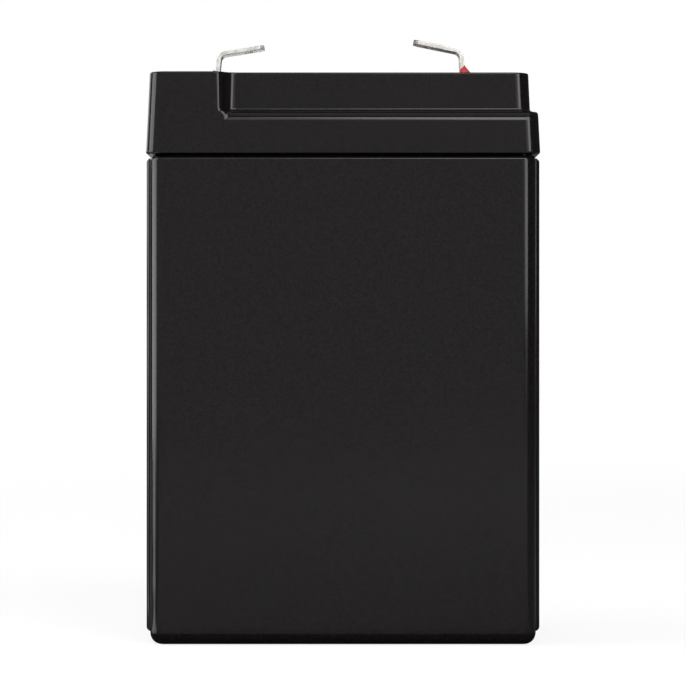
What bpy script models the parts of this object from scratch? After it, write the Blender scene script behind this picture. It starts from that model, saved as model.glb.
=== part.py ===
"""Sealed lead-acid battery: three cells in a row, in a moulded container closed by a two-tier lid.

Metres, +Z up. The front is the -Y side, and the origin is the middle of the foot.
"""

import math

import bmesh
import bpy
from mathutils import Matrix, Vector

# Clearance between pieces that touch
GAP = 0.0003

# Container
CASE_LENGTH = 0.0700
CASE_WIDTH = 0.0470
CONTAINER_HEIGHT = 0.0863
CORNER_RADIUS = 0.0026
FOOT_RADIUS = 0.0020
WALL = 0.0024
PARTITION = 0.0016
CELL_CORNER = 0.0010
LIP_RADIUS = 0.0004
REST_RIB_HEIGHT = 0.0010
REST_RIB_WIDTH = 0.0016
REST_RIB_PLACE = 0.0120

# Raised panels on the end walls
PANEL_RISE = 0.0008
PANEL_INSET = 0.0040
PANEL_EDGE = 0.00075
PANEL_START = 0.0021

# Joint between container and lid
JOINT_GROOVE = 0.0006
NECK_INSET = 0.0009
TONGUE_INSET = 0.0008
TONGUE_HEIGHT = 0.0021

# Lid
LID_HEIGHT = 0.0146
LID_DRAFT = math.radians(2.5)
LEDGE_HEIGHT = 0.0076
LEDGE_FALL = 0.00008
LEDGE_RADIUS = 0.0018
LEDGE_END_RADIUS = 0.0004
RECESS_FILLET = 0.0005
RECESS_DEPTH = 0.0024
RECESS_DEPTH_END = 0.0013
BLOCK_LENGTH = 0.0126
BLOCK_WIDTH = 0.0120
BLOCK_DRAFT = math.radians(2.5)
OGEE_RISING_RADIUS = 0.0014
OGEE_FALLING_RADIUS = 0.0023
OGEE_LEAST = 0.0005
OGEE_TURN = 0.0012
TOP_RADIUS = 0.0003
LID_WALL = 0.0020
LID_PLATE = 0.0022

# Vents
VENT_FROM_PARTITION = 0.0017
CHIMNEY_RADIUS = 0.0028
CHIMNEY_BORE = 0.0012
CHIMNEY_HEIGHT = 0.0034
CAP_WALL = 0.0007
CAP_TOP = 0.0010
POCKET_FLOOR = 0.0016
POCKET_MARGIN = 0.0004
POCKET_WIDTH = 0.0140
POCKET_CORNER = 0.0020
COVER_SEAT = 0.0011
COVER_THICKNESS = 0.0012
COVER_EDGE = 0.0002
SLOT_SPACING = 0.0134
SLOT_LENGTH = 0.0030
SLOT_DEPTH = 0.0007

# Terminals
BLADE_WIDTH = 0.00475
BLADE_THICKNESS = 0.0008
BLADE_BEND = 0.0014
BLADE_CHAMFER = 0.0008
BLADE_EDGE = 0.00012
BLADE_HOLE = 0.0008
BLADE_HOLE_FROM_TIP = 0.0030
POST_FROM_FOOT_END = 0.0026
TERMINAL_OFFSET = 0.0035
POST_RADIUS = 0.0023
SPIGOT_RADIUS = 0.0013
SPIGOT_RISE = 0.0004
NEGATIVE_STEM_IN_WELL = 0.0038
NEGATIVE_LEAN = 0.0008
NEGATIVE_RISE = 0.0053
NEGATIVE_REACH = 0.0083
NEGATIVE_TILT = math.radians(9.0)
POSITIVE_STEM_IN_WELL = 0.0022
POSITIVE_LEAN = 0.0005
POSITIVE_RISE = 0.00515
POSITIVE_REACH = 0.0087
POSITIVE_TILT = math.radians(11.5)

# Terminal wells and their resin
WELL_LAND = 0.0012
WELL_FROM_END = 0.0038
WELL_MARGIN = 0.0013
WELL_WIDTH = 0.0084
WELL_DEPTH = 0.0045
WELL_FLOOR = 0.0016
WELL_WALL = 0.0014
WELL_CORNER = 0.0015
RESIN_SINK = 0.0002
NEGATIVE_MENISCUS = 0.0023
POSITIVE_MENISCUS = 0.0029
MENISCUS_REACH = 0.00058
MENISCUS_WALL = 0.00036

# Plates, mats and straps
PLATE_SIDE_ROOM = 0.0007
PLATE_HEADROOM = 0.0164
STACK_END_ROOM = 0.00036
NEGATIVE_COUNT = 4
NEGATIVE_PART = 1.4
POSITIVE_PART = 2.0
MAT_PART = 0.7
MAT_OVERHANG = 0.0015
PLATE_IN_FOLD = 0.25
LUG_WIDTH = 0.0060
LUG_HEIGHT = 0.0050
LUG_FROM_EDGE = 0.0114
STRAP_THICKNESS = 0.0035
STRAP_MARGIN = 0.0006
RISER_THICKNESS = 0.0025
RISER_HEIGHT = 0.0090
WELD_RADIUS = 0.0027
WELD_HEIGHT = 0.0055
FLAG_HALF = 0.0030

# Heights that follow from the sizes above
BODY_LENGTH = CASE_LENGTH - 2 * PANEL_RISE
LID_BOTTOM = CONTAINER_HEIGHT + JOINT_GROOVE
LID_TOP = LID_BOTTOM + LID_HEIGHT
LEDGE = LID_BOTTOM + LEDGE_HEIGHT
SHOULDER = LID_BOTTOM - GAP
TONGUE_TOP = SHOULDER + TONGUE_HEIGHT
COVER_LEDGE = LID_TOP - COVER_THICKNESS - GAP
CHIMNEY_TOP = COVER_LEDGE - CAP_TOP - GAP
POCKET_BOTTOM = CHIMNEY_TOP - CHIMNEY_HEIGHT
WELL_BOTTOM = LID_TOP - WELL_DEPTH
BLADE_FOOT = WELL_BOTTOM + GAP + BLADE_THICKNESS / 2
PLATE_REST = WALL + REST_RIB_HEIGHT + GAP
PLATE_TOP = CONTAINER_HEIGHT - PLATE_HEADROOM
STRAP_HEIGHT = PLATE_TOP + LUG_HEIGHT

# Places along the case that follow from its cells
CELL_LENGTH = (BODY_LENGTH - 2 * WALL - 2 * PARTITION) / 3
CELL_PITCH = CELL_LENGTH + PARTITION
CELL_WIDTH = CASE_WIDTH - 2 * WALL
VENT_PLACE = CELL_LENGTH / 2 + PARTITION + VENT_FROM_PARTITION
CAP_RADIUS = CHIMNEY_RADIUS + GAP + CAP_WALL
POCKET_LENGTH = 2 * (VENT_PLACE + CAP_RADIUS + POCKET_MARGIN)
WELL_INNER_END = POCKET_LENGTH / 2 + COVER_SEAT + WELL_LAND
WELL_OUTER_END = CASE_LENGTH / 2 - WELL_FROM_END
FOOT_END = WELL_OUTER_END - WELL_MARGIN
POST_PLACE = FOOT_END - POST_FROM_FOOT_END
NEGATIVE_STEM = WELL_INNER_END + NEGATIVE_STEM_IN_WELL
POSITIVE_STEM = WELL_INNER_END + POSITIVE_STEM_IN_WELL

# The stack of a cell: plates and mats share what its gaps leave of the cell's length
MAT_LAYERS = 2 * (NEGATIVE_COUNT - 1)
STACK_PARTS = NEGATIVE_COUNT * NEGATIVE_PART + (NEGATIVE_COUNT - 1) * POSITIVE_PART + MAT_LAYERS * MAT_PART
STACK_UNIT = (CELL_LENGTH - 2 * STACK_END_ROOM - 2 * MAT_LAYERS * GAP) / STACK_PARTS
NEGATIVE_THICKNESS = NEGATIVE_PART * STACK_UNIT
POSITIVE_THICKNESS = POSITIVE_PART * STACK_UNIT
MAT_THICKNESS = MAT_PART * STACK_UNIT
PLATE_WIDTH = CELL_WIDTH - 2 * PLATE_SIDE_ROOM
MAT_WIDTH = CELL_WIDTH - 2 * GAP
LUG_PLACE = PLATE_WIDTH / 2 - LUG_FROM_EDGE
PANEL_WIDTH = CASE_WIDTH - 2 * PANEL_INSET

# Smoothness of round forms
CORNER_STEPS = 8
SMALL_STEPS = 4
EDGE_STEPS = 3
LEDGE_STEPS = 7
BLADE_EDGE_STEPS = 2
BEND_STEPS = 6
MENISCUS_STEPS = 6
FOLD_STEPS = 8
OGEE_RISING_STEPS = 5
OGEE_FALLING_STEPS = 4
ROUND_SIDES = 28
BORE_SIDES = 24
HOLE_SIDES = 20
SHARP_ANGLE = math.radians(32)
FAR = 0.02
TINY = 1e-7
MERGE = 1e-5

MATERIALS = {
    "abs_black": ((0.020, 0.019, 0.0195), 0.38, 0.0),
    "rubber_black": ((0.012, 0.012, 0.013), 0.75, 0.0),
    "tinned_metal": ((0.72, 0.71, 0.67), 0.30, 1.0),
    "resin_red": ((0.42, 0.025, 0.020), 0.30, 0.0),
    "resin_dark": ((0.030, 0.028, 0.020), 0.30, 0.0),
    "lead_grey": ((0.22, 0.23, 0.25), 0.55, 0.8),
    "oxide_brown": ((0.090, 0.042, 0.030), 0.80, 0.0),
    "glass_mat": ((0.80, 0.80, 0.77), 0.90, 0.0),
}


def clear_scene():
    for old in list(bpy.data.objects):
        bpy.data.objects.remove(old, do_unlink=True)


def make_collection(name):
    collection = bpy.data.collections.new(name)
    bpy.context.scene.collection.children.link(collection)
    return collection


def make_material(name):
    colour, roughness, metallic = MATERIALS[name]
    material = bpy.data.materials.new(name)
    material.use_nodes = True
    shader = material.node_tree.nodes["Principled BSDF"]
    shader.inputs["Base Color"].default_value = (*colour, 1.0)
    shader.inputs["Roughness"].default_value = roughness
    shader.inputs["Metallic"].default_value = metallic
    return material


clear_scene()
PARTS = make_collection("battery")
CUTTERS = make_collection("battery_cutters")
SHADES = {name: make_material(name) for name in MATERIALS}


def to_mesh(bm, name, face_outwards=True):
    if face_outwards:
        bmesh.ops.recalc_face_normals(bm, faces=bm.faces)
    mesh = bpy.data.meshes.new(name)
    bm.to_mesh(mesh)
    bm.free()
    return mesh


def part(name, mesh, shade):
    """One piece of the battery, with its own material."""
    mesh.materials.append(SHADES[shade])
    mesh.shade_smooth()
    mesh.set_sharp_from_angle(angle=SHARP_ANGLE)
    piece = bpy.data.objects.new(name, mesh)
    PARTS.objects.link(piece)
    return piece


def tool(name, mesh):
    """A shape that is cut from a piece or joined to it."""
    shape = bpy.data.objects.new(name, mesh)
    shape.hide_render = True
    shape.display_type = "WIRE"
    CUTTERS.objects.link(shape)
    return shape


def combine(piece, operation, name, mesh):
    shape = tool(f"{piece.name}_{name}", mesh)
    modifier = piece.modifiers.new(name, "BOOLEAN")
    modifier.operation = operation
    modifier.solver = "EXACT"
    modifier.object = shape


def cut(piece, name, mesh):
    combine(piece, "DIFFERENCE", name, mesh)


def join(piece, name, mesh):
    combine(piece, "UNION", name, mesh)


def round_edges(bm, edges, radius, steps):
    bmesh.ops.bevel(
        bm, geom=edges, offset=radius, offset_type="OFFSET", segments=steps,
        profile=0.5, affect="EDGES", clamp_overlap=False,
    )


def level_edges(bm, height):
    return [e for e in bm.edges if all(abs(v.co.z - height) < TINY for v in e.verts)]


def box(low, high, corner=0.0, foot=0.0, head=0.0, steps=SMALL_STEPS):
    """A box between two corner points, with its upright, bottom and top edges rounded where asked."""
    low = Vector(low)
    high = Vector(high)
    bm = bmesh.new()
    bmesh.ops.create_cube(bm, size=1.0)
    bmesh.ops.scale(bm, vec=high - low, verts=bm.verts)
    bmesh.ops.translate(bm, vec=(high + low) / 2, verts=bm.verts)
    if corner:
        upright = [e for e in bm.edges if abs(e.verts[0].co.z - e.verts[1].co.z) > TINY]
        round_edges(bm, upright, corner, steps)
    if foot:
        round_edges(bm, level_edges(bm, low.z), foot, steps)
    if head:
        round_edges(bm, level_edges(bm, high.z), head, SMALL_STEPS)
    return to_mesh(bm, "box")


def centred_box(length, width, bottom, top, **rounding):
    return box((-length / 2, -width / 2, bottom), (length / 2, width / 2, top), **rounding)


def rod(radius, start, end, sides=ROUND_SIDES):
    """A round bar from one point to another."""
    start = Vector(start)
    end = Vector(end)
    bm = bmesh.new()
    bmesh.ops.create_cone(
        bm, cap_ends=True, segments=sides, radius1=radius, radius2=radius, depth=(end - start).length,
    )
    turn = (end - start).to_track_quat("Z", "Y").to_matrix().to_4x4()
    bmesh.ops.transform(bm, matrix=Matrix.Translation((start + end) / 2) @ turn, verts=bm.verts)
    return to_mesh(bm, "rod")


def arc(count, sweep=math.pi / 2):
    """Angles from 0 to the sweep, both ends included."""
    return [sweep * i / count for i in range(count + 1)]


# Cells

def cell_centre(cell):
    """Middle of a cell along the case; cells are numbered 1 to 3 from the negative end."""
    return (cell - 2) * CELL_PITCH


def cell_hollow(cell, width, outer_end, narrowing, bottom, top):
    """The space of one cell between its partitions, with the end cells reaching to the outer end."""
    near = CELL_LENGTH / 2 - narrowing
    low = cell_centre(cell) - near
    high = cell_centre(cell) + near
    if cell == 1:
        low = -outer_end
    if cell == 3:
        high = outer_end
    return box((low, -width / 2, bottom), (high, width / 2, top), corner=CELL_CORNER)


# Container

def end_panel(side):
    """The raised panel on an end wall, with its outer edges rounded."""
    outer = side * CASE_LENGTH / 2
    inner = side * (BODY_LENGTH - WALL) / 2
    bm = bmesh.new()
    bmesh.ops.create_cube(bm, size=1.0)
    size = Vector((abs(outer - inner), PANEL_WIDTH, CONTAINER_HEIGHT - PANEL_START))
    bmesh.ops.scale(bm, vec=size, verts=bm.verts)
    middle = Vector(((outer + inner) / 2, 0, (CONTAINER_HEIGHT + PANEL_START) / 2))
    bmesh.ops.translate(bm, vec=middle, verts=bm.verts)
    outer_edges = [e for e in bm.edges if all(abs(v.co.x - outer) < TINY for v in e.verts)]
    round_edges(bm, outer_edges, PANEL_EDGE, SMALL_STEPS)
    return to_mesh(bm, "panel")


def make_container():
    body = centred_box(
        BODY_LENGTH, CASE_WIDTH, 0, CONTAINER_HEIGHT,
        corner=CORNER_RADIUS, foot=FOOT_RADIUS, head=LIP_RADIUS, steps=CORNER_STEPS,
    )
    container = part("container", body, "abs_black")
    for side, name in ((-1, "panel_left"), (1, "panel_right")):
        join(container, name, end_panel(side))
    neck_length = CASE_LENGTH - 2 * NECK_INSET
    neck_width = CASE_WIDTH - 2 * NECK_INSET
    below = CONTAINER_HEIGHT - WALL
    neck = centred_box(neck_length, neck_width, below, SHOULDER, corner=CORNER_RADIUS)
    join(container, "neck", neck)
    tongue = centred_box(
        neck_length - 2 * TONGUE_INSET, neck_width - 2 * TONGUE_INSET, below, TONGUE_TOP,
        corner=CORNER_RADIUS - TONGUE_INSET,
    )
    join(container, "tongue", tongue)
    for cell in (1, 2, 3):
        hollow = cell_hollow(
            cell, CELL_WIDTH, BODY_LENGTH / 2 - WALL, 0, WALL, TONGUE_TOP + FAR,
        )
        cut(container, f"cell_{cell}", hollow)
    for side, name in ((-1, "rib_front"), (1, "rib_rear")):
        middle = side * REST_RIB_PLACE
        low = (-BODY_LENGTH / 2 + WALL / 2, middle - REST_RIB_WIDTH / 2, WALL / 2)
        high = (BODY_LENGTH / 2 - WALL / 2, middle + REST_RIB_WIDTH / 2, WALL + REST_RIB_HEIGHT)
        join(container, name, box(low, high))
    for number, side in ((1, -1), (2, 1)):
        middle = (number - 1.5) * CELL_PITCH
        height = STRAP_HEIGHT + WELD_HEIGHT
        start = (middle - PARTITION, side * LUG_PLACE, height)
        end = (middle + PARTITION, side * LUG_PLACE, height)
        cut(container, f"weld_hole_{number}", rod(WELD_RADIUS + GAP, start, end))
    return container


# Lid

def ogee(depth, full, lean):
    """Points of an S-shaped step in a wall: distance along the wall, and inset, from flush to the depth.

    A step below the full depth starts further along, so that the block's edge turns into the ledge's.
    """
    depth = max(depth, TINY)
    radii = OGEE_RISING_RADIUS + OGEE_FALLING_RADIUS
    length = max(math.sqrt((2 * radii - depth) * depth), OGEE_LEAST) + lean
    sweep = 2 * math.atan(depth / length)
    reach = length / math.sin(sweep)
    rising = reach * OGEE_RISING_RADIUS / radii
    falling = reach - rising
    start = OGEE_TURN * (1 - depth / full)
    finish = start + length
    points = []
    for angle in arc(OGEE_RISING_STEPS, sweep):
        points.append((start + rising * math.sin(angle), rising * (1 - math.cos(angle))))
    for angle in reversed(arc(OGEE_FALLING_STEPS, sweep)[:-1]):
        points.append((finish - falling * math.sin(angle), depth - falling * (1 - math.cos(angle))))
    return points


def corner_arc(centre_x, centre_y, start):
    """A rounded upright corner, turned a quarter anticlockwise from the start angle."""
    return [
        (centre_x + CORNER_RADIUS * math.cos(start + a), centre_y + CORNER_RADIUS * math.sin(start + a))
        for a in arc(CORNER_STEPS)
    ]


def half_outline(height, inset, front, end):
    """Front and right end of the lid at one height; the other half is the same turned half round.

    The inset draws the whole outline in, and front and end are how deep the recess is there.
    """
    length = CASE_LENGTH / 2 - inset
    width = CASE_WIDTH / 2 - inset
    quarter = math.pi / 2
    lean = max(height - LEDGE, 0) * math.tan(BLOCK_DRAFT)
    points = corner_arc(-length + CORNER_RADIUS, -width + CORNER_RADIUS, 2 * quarter)
    start = -CASE_LENGTH / 2 + BLOCK_LENGTH - lean
    points += [(start + along, depth - width) for along, depth in ogee(front, RECESS_DEPTH, lean)]
    points += corner_arc(length - end - CORNER_RADIUS, front - width + CORNER_RADIUS, 3 * quarter)
    finish = CASE_WIDTH / 2 - BLOCK_WIDTH + lean
    step = ogee(end, RECESS_DEPTH_END, lean)
    points += [(length - depth, finish - along) for along, depth in reversed(step)]
    return points


def drawn_in(height, top, radius):
    """How far a rounded top edge draws in at a height."""
    rise = min(max(height - top + radius, 0), radius)
    return radius - math.sqrt(radius ** 2 - rise ** 2)


def lid_levels():
    """Height, inset and recess depth at front and end of each outline, from the lid's lip to its top."""
    def draft(height):
        return (height - LID_BOTTOM) * math.tan(LID_DRAFT)

    levels = []
    for angle in arc(EDGE_STEPS):
        height = LID_BOTTOM + LIP_RADIUS * (1 - math.cos(angle))
        levels.append((height, LIP_RADIUS * (1 - math.sin(angle)), 0, 0))
    for angle in arc(LEDGE_STEPS):
        height = LEDGE - LEDGE_RADIUS * (1 - math.sin(angle))
        front = drawn_in(height, LEDGE, LEDGE_RADIUS)
        levels.append((height, draft(height), front, drawn_in(height, LEDGE, LEDGE_END_RADIUS)))
    for angle in arc(EDGE_STEPS):
        reach = RECESS_FILLET * (1 - math.sin(angle))
        height = LEDGE + LEDGE_FALL + RECESS_FILLET * (1 - math.cos(angle))
        levels.append((height, draft(height), RECESS_DEPTH - reach, RECESS_DEPTH_END - reach))
    for angle in arc(EDGE_STEPS):
        height = LID_TOP - TOP_RADIUS * (1 - math.sin(angle))
        inset = draft(height) + drawn_in(height, LID_TOP, TOP_RADIUS)
        levels.append((height, inset, RECESS_DEPTH, RECESS_DEPTH_END))
    return levels


def lid_body():
    """The lid's outside: outlines lofted from the lip, over the ledge, to the rounded top edge."""
    bm = bmesh.new()
    rings = []
    for height, inset, front, end in lid_levels():
        half = half_outline(height, inset, front, end)
        outline = half + [(-x, -y) for x, y in half]
        rings.append([bm.verts.new((x, y, height)) for x, y in outline])
    for lower, upper in zip(rings, rings[1:]):
        count = len(lower)
        for i in range(count):
            j = (i + 1) % count
            bm.faces.new((lower[i], lower[j], upper[j], upper[i]))
    bm.faces.new(list(reversed(rings[0])))
    bm.faces.new(rings[-1])
    return to_mesh(bm, "lid")


def terminal_block(side, grow, bottom, top, corner):
    """The box of a terminal well, grown all round, for the negative (-1) or positive (1) end."""
    middle = -side * TERMINAL_OFFSET
    ends = sorted((side * (WELL_INNER_END - grow), side * (WELL_OUTER_END + grow)))
    half = WELL_WIDTH / 2 + grow
    return box((ends[0], middle - half, bottom), (ends[1], middle + half, top), corner=corner)


def hollow_lid(lid):
    """Cuts the tongue's rebate and the three cells' headspace from below."""
    rebate_inset = 2 * (NECK_INSET + TONGUE_INSET - GAP)
    rebate = centred_box(
        CASE_LENGTH - rebate_inset, CASE_WIDTH - rebate_inset, LID_BOTTOM - FAR, TONGUE_TOP + GAP,
        corner=CORNER_RADIUS - TONGUE_INSET,
    )
    cut(lid, "rebate", rebate)
    upper_inset = RECESS_DEPTH + LID_WALL + LID_HEIGHT * math.tan(LID_DRAFT)
    for cell in (1, 2, 3):
        lower = cell_hollow(
            cell, CELL_WIDTH, BODY_LENGTH / 2 - WALL, 0,
            TONGUE_TOP - WALL, LEDGE - LID_WALL,
        )
        cut(lid, f"lower_space_{cell}", lower)
        upper = cell_hollow(
            cell, CASE_WIDTH - 2 * upper_inset, BODY_LENGTH / 2 - upper_inset, GAP,
            TONGUE_TOP, LID_TOP - LID_PLATE,
        )
        cut(lid, f"upper_space_{cell}", upper)


def add_vents(lid):
    """Adds the sunk pocket for the valves, with its cover seat and three chimneys."""
    shell = LID_TOP - LID_PLATE / 2
    pocket_block = centred_box(
        POCKET_LENGTH + 2 * POCKET_FLOOR, POCKET_WIDTH + 2 * POCKET_FLOOR,
        POCKET_BOTTOM - POCKET_FLOOR, shell, corner=POCKET_CORNER + POCKET_FLOOR,
    )
    join(lid, "pocket_block", pocket_block)
    pocket = centred_box(
        POCKET_LENGTH, POCKET_WIDTH, POCKET_BOTTOM, LID_TOP + FAR, corner=POCKET_CORNER,
    )
    cut(lid, "pocket", pocket)
    seat = centred_box(
        POCKET_LENGTH + 2 * COVER_SEAT, POCKET_WIDTH + 2 * COVER_SEAT, COVER_LEDGE, LID_TOP + FAR,
        corner=POCKET_CORNER + COVER_SEAT,
    )
    cut(lid, "cover_seat", seat)
    for cell in (1, 2, 3):
        x = (cell - 2) * VENT_PLACE
        start = (x, 0, POCKET_BOTTOM - POCKET_FLOOR / 2)
        join(lid, f"chimney_{cell}", rod(CHIMNEY_RADIUS, start, (x, 0, CHIMNEY_TOP)))
        start = (x, 0, POCKET_BOTTOM - 2 * POCKET_FLOOR)
        cut(lid, f"vent_{cell}", rod(CHIMNEY_BORE, start, (x, 0, LID_TOP + FAR), BORE_SIDES))


def add_wells(lid):
    """Adds the two terminal wells, each with the hole that its post comes up through."""
    for side, name in ((-1, "negative"), (1, "positive")):
        shell = LID_TOP - LID_PLATE / 2
        block = terminal_block(side, WELL_WALL, WELL_BOTTOM - WELL_FLOOR, shell, WELL_CORNER)
        join(lid, f"well_block_{name}", block)
        well = terminal_block(side, 0, WELL_BOTTOM, LID_TOP + FAR, WELL_CORNER)
        cut(lid, f"well_{name}", well)
        x = side * POST_PLACE
        y = -side * TERMINAL_OFFSET
        hole = rod(POST_RADIUS + GAP, (x, y, TONGUE_TOP), (x, y, WELL_BOTTOM + GAP))
        cut(lid, f"post_hole_{name}", hole)


def make_lid():
    lid = part("lid", lid_body(), "abs_black")
    hollow_lid(lid)
    add_vents(lid)
    add_wells(lid)
    return lid


def make_vent_cover():
    """The flush plate over the valves, with gas slots along its long edges."""
    length = POCKET_LENGTH + 2 * (COVER_SEAT - GAP)
    width = POCKET_WIDTH + 2 * (COVER_SEAT - GAP)
    plate = centred_box(
        length, width, COVER_LEDGE + GAP, LID_TOP,
        corner=POCKET_CORNER + COVER_SEAT - GAP, head=COVER_EDGE,
    )
    cover = part("vent_cover", plate, "abs_black")
    for side, row in ((-1, "front"), (1, "rear")):
        for place in (-1, 1):
            x = place * SLOT_SPACING / 2
            edge = side * width / 2
            low = (x - SLOT_LENGTH / 2, edge - SLOT_DEPTH, COVER_LEDGE - FAR)
            high = (x + SLOT_LENGTH / 2, edge + SLOT_DEPTH, LID_TOP + FAR)
            cut(cover, f"slot_{row}_{place + 2}", box(low, high))


def make_valve_cap(cell):
    """A turned rubber cup that fits over a chimney."""
    inner = CHIMNEY_RADIUS + GAP
    outer = CAP_RADIUS
    ceiling = CHIMNEY_TOP + GAP
    top = ceiling + CAP_TOP - GAP
    foot = POCKET_BOTTOM + GAP
    edge = CAP_WALL / 2
    profile = [(0, top), (outer - edge, top)]
    for angle in arc(SMALL_STEPS)[1:]:
        profile.append((outer - edge + edge * math.sin(angle), top - edge + edge * math.cos(angle)))
    profile += [(outer, foot), (inner, foot), (inner, ceiling), (0, ceiling)]
    mesh = bpy.data.meshes.new("valve_cap")
    links = [(i, i + 1) for i in range(len(profile) - 1)]
    mesh.from_pydata([(x, 0, z) for x, z in profile], links, [])
    cap = part(f"valve_cap_{cell}", mesh, "rubber_black")
    cap.location.x = (cell - 2) * VENT_PLACE
    turn = cap.modifiers.new("turn", "SCREW")
    turn.axis = "Z"
    turn.angle = 2 * math.pi
    turn.steps = ROUND_SIDES
    turn.render_steps = ROUND_SIDES
    turn.use_merge_vertices = True
    turn.merge_threshold = MERGE
    turn.use_smooth_shade = False


# Terminals

def strip_path(corners, radius):
    """Straight runs and bends along a strip's middle line, from its corner points.

    Each piece is (start distance, length, start point, direction angle, turn), with turn 0 if straight.
    """
    pieces = []
    distance = 0.0
    here = Vector(corners[0])
    for i in range(1, len(corners)):
        corner = Vector(corners[i])
        run = corner - Vector(corners[i - 1])
        heading = math.atan2(run.y, run.x)
        turn = 0.0
        if i < len(corners) - 1:
            ahead = Vector(corners[i + 1]) - corner
            turn = math.remainder(math.atan2(ahead.y, ahead.x) - heading, 2 * math.pi)
        length = (corner - here).length - radius * math.tan(abs(turn) / 2)
        pieces.append((distance, length, here.copy(), heading, 0.0))
        distance += length
        here += length * run.normalized()
        if turn:
            pieces.append((distance, radius * abs(turn), here.copy(), heading, turn))
            distance += radius * abs(turn)
            after = heading + turn
            side = math.copysign(radius, turn)
            here += side * Vector((math.sin(after) - math.sin(heading), math.cos(heading) - math.cos(after)))
    return pieces


def bent_place(pieces, distance, height, radius):
    """Where a point of the flat strip lies once the strip is bent: its place in the profile plane."""
    piece = pieces[0]
    for other in pieces:
        if distance >= other[0] - TINY:
            piece = other
    start, length, point, heading, turn = piece
    along = distance - start
    if not turn:
        place = point + along * Vector((math.cos(heading), math.sin(heading)))
        normal = Vector((-math.sin(heading), math.cos(heading)))
        return place + height * normal
    swept = heading + turn * along / length
    side = math.copysign(radius, turn)
    place = point + side * Vector((math.sin(swept) - math.sin(heading), math.cos(heading) - math.cos(swept)))
    return place + height * Vector((-math.sin(swept), math.cos(swept)))


def add_loop(curve, points):
    spline = curve.splines.new("POLY")
    spline.points.add(len(points) - 1)
    for place, point in zip(spline.points, points):
        place.co = (point[0], point[1], 0, 1)
    spline.use_cyclic_u = True


def circle(x, radius):
    turns = [2 * math.pi * i / HOLE_SIDES for i in range(HOLE_SIDES)]
    return [(x + radius * math.cos(turn), radius * math.sin(turn)) for turn in turns]


def flat_blank(length, width, thickness, chamfer, holes):
    """The flat strip before bending: along X from 0, with its far end chamfered and its holes punched."""
    half = width / 2
    curve = bpy.data.curves.new("blank", "CURVE")
    curve.dimensions = "2D"
    curve.fill_mode = "BOTH"
    curve.extrude = thickness / 2
    tip = [(length, -half + chamfer), (length, half - chamfer)]
    if chamfer:
        tip = [(length - chamfer, -half), *tip, (length - chamfer, half)]
    add_loop(curve, [(0, -half), *tip, (0, half)])
    for x, radius in holes:
        add_loop(curve, circle(x, radius))
    flat = bpy.data.objects.new("blank", curve)
    CUTTERS.objects.link(flat)
    bpy.context.view_layer.update()
    mesh = bpy.data.meshes.new_from_object(flat.evaluated_get(bpy.context.evaluated_depsgraph_get()))
    bpy.data.objects.remove(flat)
    bm = bmesh.new()
    bm.from_mesh(mesh)
    bmesh.ops.remove_doubles(bm, verts=bm.verts, dist=TINY)
    bmesh.ops.recalc_face_normals(bm, faces=bm.faces)
    return bm


def bent_strip(side, corners, grow, holes):
    """A blade bent along its corner points; grow thickens it all round, for the space it needs."""
    pieces = strip_path(corners, BLADE_BEND)
    length = pieces[-1][0] + pieces[-1][1]
    chamfer = 0.0 if grow else BLADE_CHAMFER
    bm = flat_blank(length, BLADE_WIDTH + 2 * grow, BLADE_THICKNESS + 2 * grow, chamfer, holes)
    for start, run, _, _, turn in pieces:
        steps = BEND_STEPS if turn else 1
        for i in range(steps + 1):
            place = start + run * i / steps
            if TINY < place < length - TINY:
                every = bm.verts[:] + bm.edges[:] + bm.faces[:]
                bmesh.ops.bisect_plane(
                    bm, geom=every, dist=TINY, plane_co=(place, 0, 0), plane_no=(1, 0, 0),
                )
    middle = -side * TERMINAL_OFFSET
    for vert in bm.verts:
        place = bent_place(pieces, vert.co.x, vert.co.z, BLADE_BEND)
        vert.co = Vector((-side * place.x, middle + vert.co.y, place.y))
    if side > 0:
        bmesh.ops.reverse_faces(bm, faces=bm.faces)
    return to_mesh(bm, "blade", face_outwards=False)


def blade_corners(stem, lean, rise, reach, tilt, grow=0.0):
    """Corner points of a blade's middle line, in distance towards the case's middle, and height."""
    bend = (lean - stem, LID_TOP + rise)
    tip = (bend[0] + reach, bend[1] + reach * math.tan(tilt))
    return [(-FOOT_END - grow, BLADE_FOOT), (-stem, BLADE_FOOT), bend, tip]


BLADES = {
    "negative": (-1, (NEGATIVE_STEM, NEGATIVE_LEAN, NEGATIVE_RISE, NEGATIVE_REACH, NEGATIVE_TILT)),
    "positive": (1, (POSITIVE_STEM, POSITIVE_LEAN, POSITIVE_RISE, POSITIVE_REACH, POSITIVE_TILT)),
}


def make_terminal(name):
    """A blade terminal: its foot is soldered to the post, its stem rises, its arm bends inwards."""
    side, sizes = BLADES[name]
    corners = blade_corners(*sizes)
    pieces = strip_path(corners, BLADE_BEND)
    length = pieces[-1][0] + pieces[-1][1]
    holes = [(FOOT_END - POST_PLACE, SPIGOT_RADIUS + GAP), (length - BLADE_HOLE_FROM_TIP, BLADE_HOLE)]
    blade = part(f"terminal_{name}", bent_strip(side, corners, 0.0, holes), "tinned_metal")
    edges = blade.modifiers.new("edges", "BEVEL")
    edges.width = BLADE_EDGE
    edges.segments = BLADE_EDGE_STEPS
    edges.limit_method = "ANGLE"
    edges.angle_limit = math.radians(40)


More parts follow.
